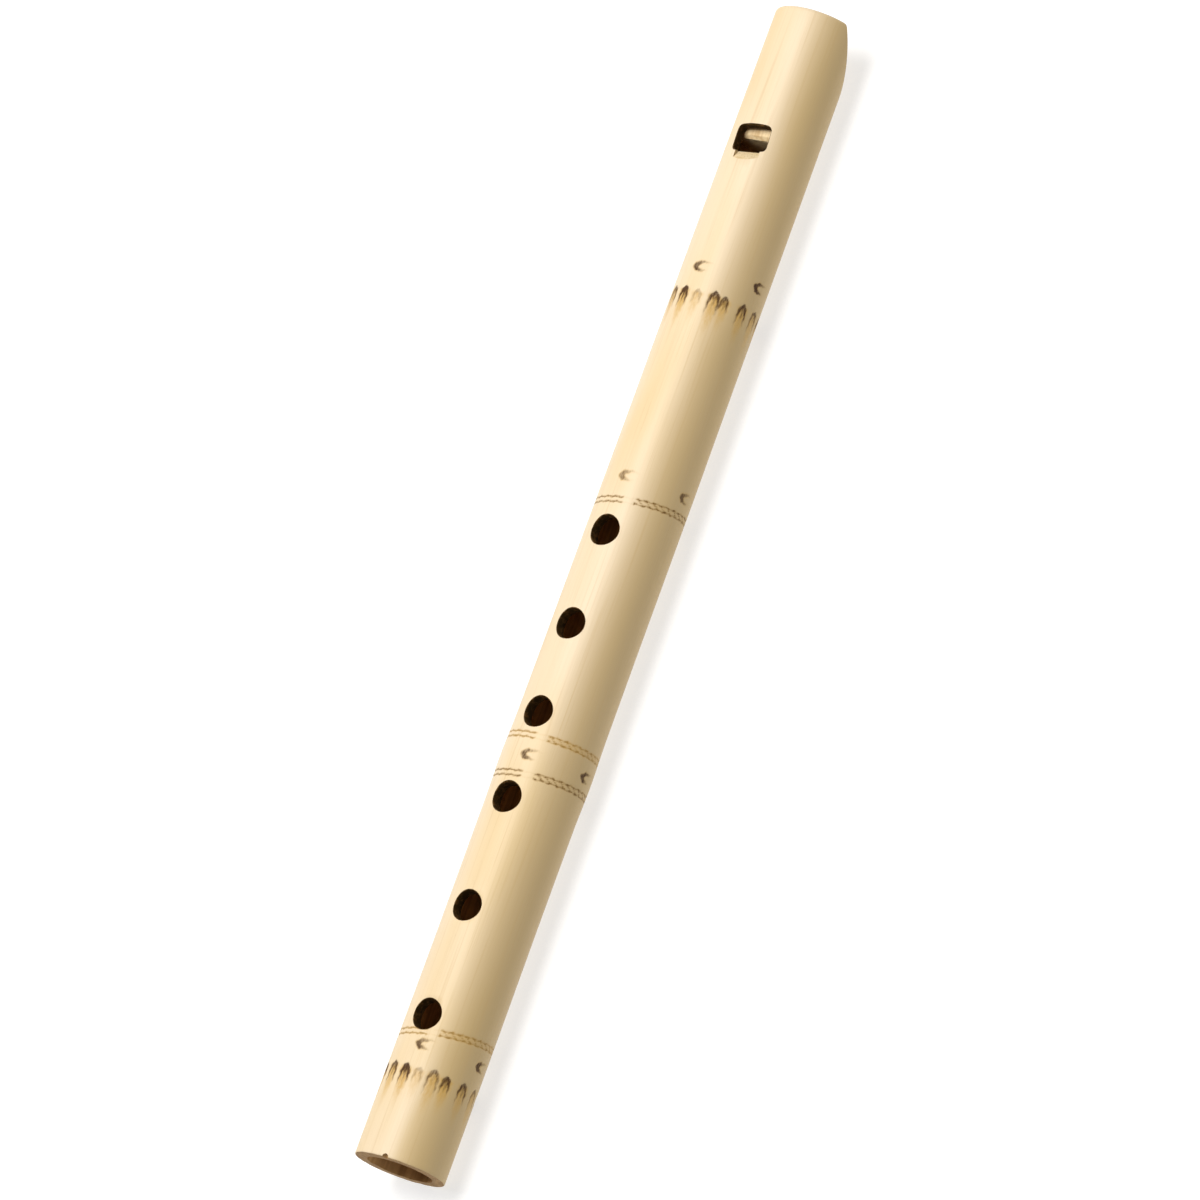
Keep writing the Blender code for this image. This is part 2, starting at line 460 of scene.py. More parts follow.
FINISHES = {
    Surface.SKIN: SkinFinish(),
    Surface.SCORCHED: ScorchedFinish(),
    Surface.CUT: CutFinish(),
    Surface.BORE: BoreFinish(),
    Surface.PARED: CutFinish(
        "pared_cane",
        wood=(0.690, 0.550, 0.335),
        shade=(0.620, 0.465, 0.250),
        bundle=(0.430, 0.290, 0.130),
    ),
}


@dataclass(frozen=True)
class Waver:
    """A small wave in strokes that are drawn with a hand-held iron, in millimetres.

    Attributes:
        height: How far it moves a stroke.
        round_rate: How fast it swings round the cane.
        along_rate: How fast it swings along the cane.
    """

    height: float
    round_rate: float
    along_rate: float

    def at(self, across: np.ndarray, along: np.ndarray) -> np.ndarray:
        """How far the wave moves each place."""
        return self.height * np.sin(self.round_rate * across + self.along_rate * along)


@dataclass(frozen=True)
class Knot:
    """A point of a stroke, in millimetres from the stroke's own centre.

    Attributes:
        across: Its distance round the cane.
        along: Its distance along the cane, towards the mouth end.
        width: Half the stroke's width here.
        strength: How strongly the stroke burns here.
    """

    across: float
    along: float
    width: float
    strength: float


@dataclass
class Strokes:
    """Burned strokes on the cane, drawn on places given in millimetres.

    Attributes:
        across: Each place's distance round the cane from the row of finger holes.
        along: Each place's distance from the foot end.
        girth: The distance once round the cane.
        soft: How far the edge of a stroke fades to each side.
        wavers_across: The small waves that move the strokes round the cane.
        wavers_along: The small waves that move them along the cane.
        wavy_across: The distance round the cane, moved by the wavers.
        wavy_along: The distance along the cane, moved by the wavers.
        char: How black each place is burned so far.
        toast: How golden each place is browned so far.
    """

    across: np.ndarray
    along: np.ndarray
    girth: float
    soft: float = 0.22
    wavers_across: tuple[Waver, ...] = (Waver(0.08, 0.9, 3.1),)
    wavers_along: tuple[Waver, ...] = (Waver(0.09, 2.3, 1.1), Waver(0.05, 5.1, -0.7))
    wavy_across: np.ndarray = field(init=False)
    wavy_along: np.ndarray = field(init=False)
    char: np.ndarray = field(init=False)
    toast: np.ndarray = field(init=False)

    def __post_init__(self) -> None:
        """Starts with bare cane, on places moved by the wavers."""
        self.wavy_across = sum((w.at(self.across, self.along) for w in self.wavers_across), self.across)
        self.wavy_along = sum((w.at(self.across, self.along) for w in self.wavers_along), self.along)
        self.char = np.zeros_like(self.along)
        self.toast = np.zeros_like(self.along)

    def degrees(self, angle: float) -> float:
        """The distance round the cane of an angle in degrees."""
        return self.girth * angle / 360.0

    def round_from(self, centre: float) -> np.ndarray:
        """Each place's distance round the cane from a centre, the short way."""
        return (self.wavy_across - centre + 0.5 * self.girth) % self.girth - 0.5 * self.girth

    def burn(self, char: np.ndarray) -> None:
        """Blackens places, where they aren't blacker already."""
        self.char = np.maximum(self.char, char)

    def brown(self, toast: np.ndarray) -> None:
        """Browns places, where they aren't browner already."""
        self.toast = np.maximum(self.toast, toast)

    def line(self, across: np.ndarray, along: np.ndarray, knots: tuple[Knot, ...]) -> np.ndarray:
        """A stroke that runs straight from knot to knot.

        Args:
            across: Each place's distance round the cane from the stroke's own centre.
            along: Each place's distance along the cane from the stroke's own centre.
            knots: The stroke's points in their order.

        Returns:
            How strongly each place is burned, from 0 to 1.
        """
        best = np.zeros_like(across)
        for start, end in zip(knots, knots[1:]):
            run_across, run_along = end.across - start.across, end.along - start.along
            off_across, off_along = across - start.across, along - start.along
            covered = off_across * run_across + off_along * run_along
            share = np.clip(covered / (run_across**2 + run_along**2), 0.0, 1.0)
            away = np.hypot(off_across - share * run_across, off_along - share * run_along)
            width = start.width + share * (end.width - start.width)
            strength = start.strength + share * (end.strength - start.strength)
            best = np.maximum(best, strength * soft_line(away, width, self.soft))
        return best


@dataclass(frozen=True)
class Crescents:
    """A row of small burned crescents round the cane, open to one side.

    Attributes:
        from_foot: The row's distance from the foot end, in millimetres.
        strength: How black the row is.
        first_angle: The place of the first crescent.
        spacing: The angle from each crescent to the next.
        even: The share of that for the first crescent and each second one after it.
        odd: The share of that for the others.
        halo_width: How far the browned edge reaches beyond a crescent.
        halo_strength: How golden the browned edge is.
        shape: A crescent's stroke.
    """

    from_foot: float
    strength: float
    first_angle: float = 2.0
    spacing: float = 88.0
    count: int = 4
    even: float = 0.95
    odd: float = 1.12
    halo_width: float = 0.25
    halo_strength: float = 0.5
    shape: tuple[Knot, ...] = (
        Knot(2.9, 1.15, 0.10, 0.2),
        Knot(0.9, 1.15, 0.28, 0.5),
        Knot(-1.0, 0.75, 0.50, 0.9),
        Knot(-1.9, -0.1, 0.74, 1.0),
        Knot(-1.3, -0.9, 0.58, 1.0),
        Knot(0.3, -1.15, 0.32, 0.65),
        Knot(1.7, -0.95, 0.10, 0.2),
    )

    def draw(self, strokes: Strokes) -> None:
        """Burns the row.

        Args:
            strokes: The strokes on the cane.
        """
        halo = tuple(replace(knot, width=knot.width + self.halo_width) for knot in self.shape)
        along = strokes.wavy_along - self.from_foot
        for number in range(self.count):
            across = strokes.round_from(strokes.degrees(self.first_angle + number * self.spacing))
            share = self.odd if number % 2 else self.even
            strokes.burn(share * self.strength * strokes.line(across, along, self.shape))
            strokes.brown(self.halo_strength * strokes.line(across, along, halo))


@dataclass(frozen=True)
class BandTones:
    """How black and how golden a band's strokes are, and how golden the cane between them."""

    char: float
    toast: float
    glow: float


class BandStyle(Enum):
    """How the strokes of a burned band are coloured."""

    OLIVE = BandTones(char=0.74, toast=0.8, glow=0.30)
    GOLDEN = BandTones(char=0.56, toast=1.0, glow=0.60)


@dataclass(frozen=True)
class Band:
    """A burned band round the cane: two plain lines on one half, a twisted rope on the other.

    Attributes:
        from_foot: The band's distance from the foot end, in millimetres.
        lean: How far it leans along the cane at most.
        lean_from: The angle at which it leans neither way.
        half_height: Half the distance between its two edge lines.
        pitch: The distance from strand to strand of the rope.
        gap: The nearly bare angle between the rope and the plain lines.
        gap_strength: How strongly the lines are burned there.
        rope_fade: Half the angle over which the rope fades out.
        plain_fade: The angle over which the plain lines fade in.
        soft: How far the edge of a stroke fades to each side.
        strand_fade: How sharply the ends of a strand fade.
        swell: How much the edges of the rope swell and thin.
        swell_shift: How far the swellings of its edges are apart, in shares of the pitch.
        glow_reach: How far the browned cane reaches beyond the edge lines.
        glow_fade: The distance over which it fades.
    """

    from_foot: float
    style: BandStyle
    lean: float
    lean_from: float = 35.0
    half_height: float = 0.64
    pitch: float = 1.9
    rope_start: float = 26.0
    rope_end: float = 192.0
    gap: float = 14.0
    gap_strength: float = 0.22
    rope_fade: float = 2.0
    plain_fade: float = 5.0
    plain_strength: float = 0.85
    soft: float = 0.20
    edge_width: float = 0.25
    strand_width: float = 0.20
    strand_strength: float = 0.75
    strand_fade: float = 5.0
    swell: float = 0.20
    swell_shift: float = 0.15
    glow_reach: float = 0.9
    glow_fade: float = 1.1
    rope_glow: float = 0.6
    plain_glow: float = 0.25

    def rope(self, strokes: Strokes, along: np.ndarray, edges: np.ndarray) -> np.ndarray:
        """The twisted rope: slanted strands between two edges that swell and thin.

        Args:
            strokes: The strokes on the cane.
            along: Each place's distance along the cane from the band's middle.
            edges: How strongly each place is burned by the edge lines.

        Returns:
            How strongly each place is burned, from 0 to 1.
        """
        turns = strokes.wavy_across / self.pitch
        lay = turns % 1.0
        slant = np.abs(along - self.half_height * (1.0 - 2.0 * lay))
        strand = soft_line(slant, self.strand_width, self.soft)
        strand = strand * smooth_step(self.strand_fade * lay)
        strand = strand * smooth_step(self.strand_fade - self.strand_fade * lay)
        wave = np.cos(FULL_TURN * (turns - self.swell_shift * np.sign(along)))
        return np.maximum(self.strand_strength * strand, edges * (1.0 - self.swell + self.swell * wave))

    def draw(self, strokes: Strokes) -> None:
        """Burns the band.

        Args:
            strokes: The strokes on the cane.
        """
        angle = (360.0 * strokes.wavy_across / strokes.girth) % 360.0
        rope_middle = 0.5 * (self.rope_start + self.rope_end)
        rope_reach = 0.5 * (self.rope_end - self.rope_start)
        from_middle = np.abs((angle - rope_middle + 180.0) % 360.0 - 180.0)
        roped = smooth_step((rope_reach + self.rope_fade - from_middle) / (2.0 * self.rope_fade))
        plain = smooth_step((from_middle - rope_reach - self.gap + self.rope_fade) / self.plain_fade)
        faint = self.gap_strength * (1.0 - roped) * (1.0 - plain)
        lean = self.lean * np.sin(np.radians(angle - self.lean_from))
        along = strokes.wavy_along - self.from_foot - lean
        edges = np.maximum(
            soft_line(np.abs(along - self.half_height), self.edge_width, self.soft),
            soft_line(np.abs(along + self.half_height), self.edge_width, self.soft),
        )
        drawn = np.maximum(roped * self.rope(strokes, along, edges), self.plain_strength * plain * edges)
        drawn = np.maximum(drawn, faint * edges)
        near = smooth_step((self.half_height + self.glow_reach - np.abs(along)) / self.glow_fade)
        glow = near * np.maximum(self.rope_glow * roped, self.plain_glow * plain)
        tones = self.style.value
        strokes.burn(tones.char * drawn)
        strokes.brown(np.maximum(tones.glow * glow, tones.toast * drawn))


@dataclass(frozen=True)
class Varied:
    """A size in millimetres that changes a little from flame to flame."""

    mean: float
    change: float

    def at(self, swing: float) -> float:
        """The size at a swing from -1 to 1."""
        return self.mean + self.change * swing


@dataclass(frozen=True)
class Flames:
    """A row of burned flames: dark arched heads, whose legs fade to gold towards the foot end.

    Attributes:
        from_foot: How far the tips of the heads are from the foot end, in millimetres.
        angles: The places of the flames that the photograph shows.
        strengths: How black they are.
        hidden: How many more there are on the back.
        shift: How far a swing moves a flame along the cane.
        half_width: Half the distance between the legs.
        tail_width: Half the width of the golden tail at the head.
        tail_narrowing: How much narrower it is at its end.
        tail_soft: The distance over which its sides fade.
        tail_lead: How far the gold starts before the head, as a share of the tail.
        tail_rise: How soon it is full, as a share of the tail.
        tail_gold: How golden every tail is.
        tail_gain: How much more golden the tail of a black flame is.
    """

    from_foot: float
    angles: tuple[float, ...]
    strengths: tuple[float, ...]
    hidden: int = 9
    swing_start: float = 0.7
    swing_step: float = 2.4
    shift: float = 0.25
    leg: Varied = Varied(6.8, 1.3)
    half_width: Varied = Varied(1.02, 0.15)
    core_strength: float = 0.95
    tail: Varied = Varied(14.0, 2.0)
    tail_width: float = 2.6
    tail_narrowing: float = 1.2
    tail_soft: float = 1.8
    tail_lead: float = 0.04
    tail_rise: float = 0.12
    tail_gold: float = 0.35
    tail_gain: float = 0.62

    def draw(self, strokes: Strokes) -> None:
        """Burns the row.

        Args:
            strokes: The strokes on the cane.
        """
        last = self.angles[-1]
        step = (360.0 + self.angles[0] - last) / (self.hidden + 1)
        angles = list(self.angles) + [last + step * (i + 1) for i in range(self.hidden)]
        for number, angle in enumerate(angles):
            strength = self.strengths[number % len(self.strengths)]
            swing = math.sin(self.swing_step * number + self.swing_start)
            self.draw_flame(strokes, angle, strength, swing)

    def arch(self, wide: float, leg: float) -> tuple[Knot, ...]:
        """The stroke of a flame's head, from the end of one leg to the end of the other.

        Args:
            wide: Half the distance between the legs.
            leg: The length of the legs.

        Returns:
            Its knots.
        """
        return (
            Knot(-wide - 0.35, -leg, 0.08, 0.0),
            Knot(-wide - 0.1, -0.5 * leg, 0.27, 0.72),
            Knot(-wide, -1.9, 0.40, 0.95),
            Knot(-0.6 * wide, -0.5, 0.48, 1.0),
            Knot(0.0, 0.0, 0.50, 1.0),
            Knot(0.6 * wide, -0.5, 0.48, 1.0),
            Knot(wide, -1.9, 0.40, 0.95),
            Knot(wide + 0.1, -0.5 * leg, 0.27, 0.72),
            Knot(wide + 0.3, -0.85 * leg, 0.08, 0.0),
        )

    def core(self, leg: float, swing: float) -> tuple[Knot, ...]:
        """The short stroke that fills the top of a flame's head.

        Args:
            leg: The length of the legs.
            swing: From -1 to 1, the side that its end bends to.

        Returns:
            Its knots.
        """
        return (
            Knot(0.0, -0.5, 0.50, 1.0),
            Knot(0.05, -2.6, 0.34, 0.7),
            Knot(0.1 * swing, -0.8 * leg, 0.05, 0.0),
        )

    def draw_flame(self, strokes: Strokes, angle: float, strength: float, swing: float) -> None:
        """Burns one flame.

        Args:
            strokes: The strokes on the cane.
            angle: Its place round the cane.
            strength: How black it is.
            swing: From -1 to 1, what makes it unlike its neighbours.
        """
        across = strokes.round_from(strokes.degrees(angle))
        along = strokes.wavy_along - self.from_foot - self.shift * swing
        leg = self.leg.at(swing)
        head = strokes.line(across, along, self.arch(self.half_width.at(swing), leg))
        strokes.burn(strength * head)
        core = strokes.line(across, along, self.core(leg, swing))
        strokes.burn(self.core_strength * strength**2 * core)
        below = np.clip(-along / self.tail.at(swing), -1.0, 1.0)
        fade = smooth_step((below + self.tail_lead) / self.tail_rise) * (1.0 - smooth_step(below))
        width = self.tail_width - self.tail_narrowing * np.clip(below, 0.0, 1.0)
        gold = fade * smooth_step((width - np.abs(across)) / self.tail_soft)
        strokes.brown((self.tail_gold + self.tail_gain * strength) * gold)


@dataclass(frozen=True)
class Ornament:
    """All the burned ornament of the flute, and the zones of the cane that hold it.

    A zone is the start and the end of a stretch, in millimetres from the foot end.
    """

    crescents: tuple[Crescents, ...] = (
        Crescents(230.6, strength=0.85),
        Crescents(175.6, first_angle=6.0, strength=0.62),
        Crescents(103.1, first_angle=13.0, spacing=84.0, strength=0.75),
        Crescents(28.7, first_angle=14.0, spacing=86.0, strength=0.76),
    )
    bands: tuple[Band, ...] = (
        Band(169.9, BandStyle.OLIVE, lean=1.2),
        Band(108.0, BandStyle.GOLDEN, lean=0.3),
        Band(98.3, BandStyle.OLIVE, lean=0.7),
        Band(32.4, BandStyle.GOLDEN, lean=1.5),
    )
    flames: tuple[Flames, ...] = (
        Flames(
            224.7,
            angles=(-34.0, -11.5, 9.6, 33.0, 46.7, 74.0, 98.0),
            strengths=(0.8, 1.0, 0.4, 0.85, 0.75, 0.85, 0.7),
        ),
        Flames(
            22.9,
            angles=(-22.0, 0.0, 18.0, 37.5, 54.6, 80.0, 105.0),
            strengths=(0.8, 1.0, 0.4, 0.65, 0.85, 0.8, 0.6),
        ),
    )
    zones: tuple[tuple[float, float], ...] = ((8.0, 35.0), (95.5, 110.5), (166.5, 178.0), (209.0, 233.0))

    def draw(self, strokes: Strokes) -> None:
        """Burns every row and band."""
        for row in (*self.flames, *self.crescents, *self.bands):
            row.draw(strokes)


def link(name: str, data: bpy.types.ID) -> bpy.types.Object:
    """Makes an object of a mesh, light or camera, and puts it in the scene.

    Args:
        name: The object's name.
        data: What it shows.

    Returns:
        The object.
    """
    thing = bpy.data.objects.new(name, data)
    bpy.context.scene.collection.objects.link(thing)
    return thing


def mesh_of(bm: bmesh.types.BMesh, name: str) -> bpy.types.Mesh:
    """Writes a bmesh to a new mesh and frees it.

    Args:
        bm: The bmesh.
        name: The mesh's name.

    Returns:
        The mesh.
    """
    mesh = bpy.data.meshes.new(name)
    bm.to_mesh(mesh)
    bm.free()
    return mesh


@dataclass
class FluteTube:
    """The cane: its bore, finger holes, sound window, ramp, beak and burned ornament.

    Attributes:
        stub_rings: How many rings of the bore the joint wall's stub has on each side.
        bore_rings: The places of its other rings.
        end_face: How straight along the flute a face looks that lies on a sawn end.
        wall_slack: How far from the bore's radius a face of the bore may be.
        ramp_overrun: How far the wedge of the ramp runs on past the skin.
        beak_block: The size of the block that cuts the beak, in lengths of its flat.
        rim_levels: The rings of a cutter's flare: each one's height above the skin, and how
            far it grows outwards, in shares of the rim's rounding.
        base_share: The height of a cutter's lower end, as a share of the cane's radius.
        cutter_top: How far a cutter stands out of the skin.
        top_growth: How far its top grows outwards, in shares of the rim's rounding.
        still_depth: How far above the bore the natural unevenness ends.
        foot_depth: How far from the foot end its saw marks reach.
        skin_depth: How far below the mouth end's radius the ornament may reach.
        skin_fade: The depth over which it fades out there.
        first_ring: The first ring's distance from the foot end, in millimetres.
        last_ring: The last ring's least distance from the mouth end, in millimetres.
        coarse_step: The distance between rings where the skin is plain, in millimetres.
        fine_step: The distance between rings where it is burned, in millimetres.
        ring_slack: How far before a burned stretch fine rings may start, in millimetres.
    """

    mouth_radius: float = 10.85 * MM
    middle_radius: float = 11.15 * MM
    foot_radius: float = 11.30 * MM
    middle_from_foot: float = 140.0 * MM
    bore_radius: float = 8.25 * MM
    mouth_rounding: float = 1.0 * MM
    foot_rounding: float = 0.3 * MM
    rounding_steps: int = 6
    joint_from_foot: float = 102.5 * MM
    joint_swelling: float = 0.22 * MM
    joint_half_width: float = 6.0 * MM
    stub_height: float = 0.45 * MM
    stub_half_width: float = 1.6 * MM
    stub_rings: int = 8
    bore_rings: tuple[float, ...] = tuple(x * MM for x in (0.0, 2.0, 40.0, 80.0, 140.0, 200.0, 262.0))
    end_face: float = 0.9
    wall_slack: float = 0.2 * MM
    hole_radius: float = 3.85 * MM
    hole_sides: int = 72
    holes_from_foot: tuple[float, ...] = tuple(x * MM for x in (35.9, 63.8, 91.8, 113.9, 136.8, 161.2))
    window_from_mouth: float = 31.8 * MM
    window_length: float = 6.6 * MM
    window_width: float = 9.2 * MM
    window_corner: float = 1.2 * MM
    corner_steps: int = 8
    window_turn: float = math.radians(3.0)
    window_skew: float = math.radians(4.5)
    ramp_length: float = 2.6 * MM
    ramp_depth: float = 1.9 * MM
    ramp_overrun: float = 3.0 * MM
    beak_tip_thickness: float = 7.7 * MM
    beak_length: float = 23.5 * MM
    beak_block: float = 2.2
    rim_rounding: float = 0.22 * MM
    rim_levels: tuple[tuple[float, float], ...] = ((-1.4, 0.0), (-0.55, 0.35), (-0.12, 1.0))
    base_share: float = 0.3
    cutter_top: float = 1.2 * MM
    top_growth: float = 2.6
    nick_size: Scale = (0.9 * MM, 0.8 * MM, 1.5 * MM)
    nick_angle: float = math.radians(15.0)
    still_depth: float = 0.5 * MM
    foot_depth: float = 0.5 * MM
    wave_height: float = 0.10 * MM
    wave_scale: Scale = (22.0, 60.0, 60.0)
    chip_height: float = 0.10 * MM
    chip_scale: Scale = (300.0, 450.0, 450.0)
    chip_least: float = -0.2
    burn_depth: float = 0.10 * MM
    skin_depth: float = 0.9 * MM
    skin_fade: float = 0.4 * MM
    sides: int = 240
    first_ring: float = 1.2
    last_ring: float = 1.5
    coarse_step: float = 3.0
    fine_step: float = 0.3
    ring_slack: float = 0.01
    sharp_angle: float = math.radians(38.0)
    ornament: Ornament = field(default_factory=Ornament)
    foot_x: float = field(init=False)
    length: float = field(init=False)
    axis_z: float = field(init=False)

    def __post_init__(self) -> None:
        """Reads the flute's length and the place of its axis from the frame."""
        low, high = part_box("flute_tube")
        self.foot_x = low[0]
        self.length = high[0] - low[0]
        self.axis_z = 0.5 * (low[2] + high[2])

    def on_axis(self, from_foot: float, above: float = 0.0) -> Vector:
        """The point at a distance from the foot end, and above the axis."""
        return Vector((self.foot_x + from_foot, 0.0, self.axis_z + above))

    def radius(self, from_foot: float) -> float:
        """The cane's outer radius, which tapers to the mouth end and swells at the joint.

        Args:
            from_foot: The distance from the foot end.

        Returns:
            The radius there.
        """
        if from_foot < self.middle_from_foot:
            share = from_foot / self.middle_from_foot
            radius = self.foot_radius + (self.middle_radius - self.foot_radius) * share
        else:
            share = (from_foot - self.middle_from_foot) / (self.length - self.middle_from_foot)
            radius = self.middle_radius + (self.mouth_radius - self.middle_radius) * share
        swelling = smooth_bump(from_foot - self.joint_from_foot, self.joint_half_width)
        return radius + self.joint_swelling * swelling

    def bore(self, from_foot: float) -> float:
        """The bore's radius at a distance from the foot end."""
        stub = smooth_bump(from_foot - self.joint_from_foot, self.stub_half_width)
        return self.bore_radius - self.stub_height * stub

    def beak_flat(self) -> tuple[Vector, Vector]:
        """The line of the beak's flat in the middle of the flute.

        Returns:
            Its heel on the back of the cane, and its tip at the mouth end.
        """
        heel_place = self.length - self.beak_length
        heel = self.on_axis(heel_place, -self.radius(heel_place))
        tip = self.on_axis(self.length, self.radius(self.length) - self.beak_tip_thickness)
        return heel, tip

    def skin_rings(self) -> list[float]:
        """Places along the cane where its skin gets a ring: close together where it is burned.

        Returns:
            Their distances from the foot end.
        """
        end = self.length / MM - self.last_ring
        places = [self.first_ring]
        while places[-1] < end:
            here = places[-1]
            burned = any(low - self.ring_slack <= here < high for low, high in self.ornament.zones)
            step = self.fine_step if burned else self.coarse_step
            ahead = [low for low, _ in self.ornament.zones if here < low < here + step]
            places.append(min(ahead) if ahead else here + step)
        return [place * MM for place in places if place < end]

    def rounded_edge(self, end: float, inward: float, size: float) -> list[tuple[float, float]]:
        """The rounded outer edge of one end of the cane.

        Args:
            end: The end's distance from the foot end.
            inward: 1 at the foot end and -1 at the mouth end.
            size: The radius of the rounding.

        Returns:
            Its points from the end face to the skin, as distances from the foot and radii.
        """
        centre = self.radius(end) - size
        return [
            (end + inward * size * (1.0 - math.cos(turn)), centre + size * math.sin(turn))
            for turn in quarter_turn(self.rounding_steps)
        ]

    def profile(self) -> list[tuple[float, float]]:
        """The closed outline of the cane's wall.

        Returns:
            Its points, as distances from the foot and radii.
        """
        stub = [
            self.joint_from_foot + 2.0 * self.stub_half_width * ring / self.stub_rings
            for ring in range(-self.stub_rings, self.stub_rings + 1)
        ]
        points = self.rounded_edge(0.0, 1.0, self.foot_rounding)
        points += [(place, self.radius(place)) for place in self.skin_rings()]
        points += reversed(self.rounded_edge(self.length, -1.0, self.mouth_rounding))
        points.append((self.length, self.bore_radius))
        points += [(place, self.bore(place)) for place in sorted((*self.bore_rings, *stub), reverse=True)]
        return points

    def turned(self) -> bpy.types.Object:
        """Turns the outline about the axis.

        Returns:
            The cane before its holes are cut.
        """
        bm = bmesh.new()
        rim = [bm.verts.new(self.on_axis(place, radius)) for place, radius in self.profile()]
        ring = [bm.edges.new((rim[i - 1], rim[i])) for i in range(len(rim))]
        bmesh.ops.spin(
            bm, geom=rim + ring, cent=self.on_axis(0.0), axis=(1.0, 0.0, 0.0),
            angle=FULL_TURN, steps=self.sides, use_merge=True,
        )
        bmesh.ops.recalc_face_normals(bm, faces=bm.faces[:])
        for face in bm.faces:
            centre = face.calc_center_median() - self.on_axis(0.0)
            if abs(face.normal.x) > self.end_face:
                face.material_index = Surface.CUT.value
            elif math.hypot(centre.y, centre.z) < self.bore_radius + self.wall_slack:
                face.material_index = Surface.BORE.value
        self.roughen(bm)
        return link("cane_tube", mesh_of(bm, "cane_tube"))

    def roughen(self, bm: bmesh.types.BMesh) -> None:
        """Gives the turned cane its slight natural unevenness and its sawn foot end.

        Args:
            bm: The turned cane.
        """
        wave_scale, chip_scale = Vector(self.wave_scale), Vector(self.chip_scale)
        for vert in bm.verts:
            spot = vert.co - self.on_axis(0.0)
            out = Vector((0.0, spot.y, spot.z))
            if out.length < self.bore_radius + self.still_depth and spot.x > self.foot_depth:
                continue
            vert.co += out.normalized() * self.wave_height * noise.noise(spot * wave_scale)
            if spot.x < self.foot_depth:
                vert.co.x += self.chip_height * max(noise.noise(spot * chip_scale), self.chip_least)

    def flared_bar(self, outline: list[Vector], matrix: Matrix) -> bmesh.types.BMesh:
        """A bar that cuts the wall, flared at the skin so that the rim is left rounded.

        Args:
            outline: The bar's section, as points round its middle.
            matrix: Its place, with +Z out of the cane.

        Returns:
            The bar.
        """
        radius = self.radius(matrix.translation.x - self.foot_x)
        flare = self.rim_rounding
        bm = bmesh.new()
        loops = [[bm.verts.new((*point.xy, self.base_share * radius)) for point in outline]]
        levels = [(height * flare, growth * flare) for height, growth in self.rim_levels]
        for height, growth in (*levels, (self.cutter_top, self.top_growth * flare)):
            spots = [point + point.normalized() * growth for point in outline]
            skin = [math.sqrt(radius * radius - spot.y * spot.y) for spot in spots]
            loops.append([bm.verts.new((*spot.xy, above + height)) for spot, above in zip(spots, skin)])
        rings = [[bm.edges.new((loop[i - 1], loop[i])) for i in range(len(loop))] for loop in loops]
        for low, high in zip(rings, rings[1:]):
            bmesh.ops.bridge_loops(bm, edges=low + high)
        bmesh.ops.edgeloop_fill(bm, edges=rings[0])
        bmesh.ops.edgeloop_fill(bm, edges=rings[-1])
        bmesh.ops.transform(bm, matrix=matrix, verts=bm.verts[:])
        bmesh.ops.recalc_face_normals(bm, faces=bm.faces[:])
        return bm

    def hole_outline(self) -> list[Vector]:
        """The round section of a finger hole's cutter."""
        turns = [FULL_TURN * side / self.hole_sides for side in range(self.hole_sides)]
        return [Vector((self.hole_radius * math.cos(t), self.hole_radius * math.sin(t), 0.0)) for t in turns]

    def window_outline(self) -> list[Vector]:
        """The section of the window's cutter: a rectangle with rounded corners.

        Returns:
            Its points round the middle.
        """
        corner = self.window_corner
        reach_x, reach_y = 0.5 * self.window_length - corner, 0.5 * self.window_width - corner
        outline = []
        for number, (sign_x, sign_y) in enumerate(((1.0, 1.0), (-1.0, 1.0), (-1.0, -1.0), (1.0, -1.0))):
            centre = Vector((reach_x * sign_x, reach_y * sign_y, 0.0))
            for turn in quarter_turn(self.corner_steps, 0.5 * math.pi * number):
                outline.append(centre + corner * Vector((math.cos(turn), math.sin(turn), 0.0)))
        return outline

    def window_place(self) -> Matrix:
        """The window's place and turn.

        Returns:
            The matrix, with +Z out of the cane.
        """
        middle = self.length - self.window_from_mouth - 0.5 * self.window_length
        turn = Matrix.Rotation(self.window_turn, 4, "X")
        return Matrix.Translation(self.on_axis(middle)) @ turn @ Matrix.Rotation(self.window_skew, 4, "Z")

    def ramp(self) -> bmesh.types.BMesh:
        """A wedge that cuts the ramp down to the lip of the window.

        Returns:
            The wedge.
        """
        skin = self.radius(self.length - self.window_from_mouth - self.window_length)
        slope = self.ramp_depth / self.ramp_length
        top = skin + slope * self.ramp_overrun
        lip = -0.5 * self.window_length
        section = (
            (lip + self.window_corner, skin - self.ramp_depth - slope * self.window_corner),
            (lip - self.ramp_length - self.ramp_overrun, top),
            (lip + self.window_corner, top),
        )
        width = self.window_width - 2.0 * self.window_corner
        bm = bmesh.new()
        face = bm.faces.new([bm.verts.new((along, -0.5 * width, above)) for along, above in section])
        swept = bmesh.ops.extrude_face_region(bm, geom=[face])
        far = [item for item in swept["geom"] if isinstance(item, bmesh.types.BMVert)]
        bmesh.ops.translate(bm, verts=far, vec=(0.0, width, 0.0))
        bmesh.ops.transform(bm, matrix=self.window_place(), verts=bm.verts[:])
        bmesh.ops.recalc_face_normals(bm, faces=bm.faces[:])
        return bm

    def beak(self) -> bmesh.types.BMesh:
        """A block whose upper face is the flat of the beak.

        Returns:
            The block.
        """
        heel, tip = self.beak_flat()
        fall = tip - heel
        size = self.beak_block * fall.length
        bm = bmesh.new()
        bmesh.ops.create_cube(bm, size=size)
        bmesh.ops.translate(bm, verts=bm.verts[:], vec=(0.0, 0.0, -0.5 * size))
        turn = Matrix.Rotation(-math.atan2(fall.z, fall.x), 3, "Y")
        bmesh.ops.rotate(bm, verts=bm.verts[:], matrix=turn)
        bmesh.ops.translate(bm, verts=bm.verts[:], vec=0.5 * (tip + heel))
        return bm

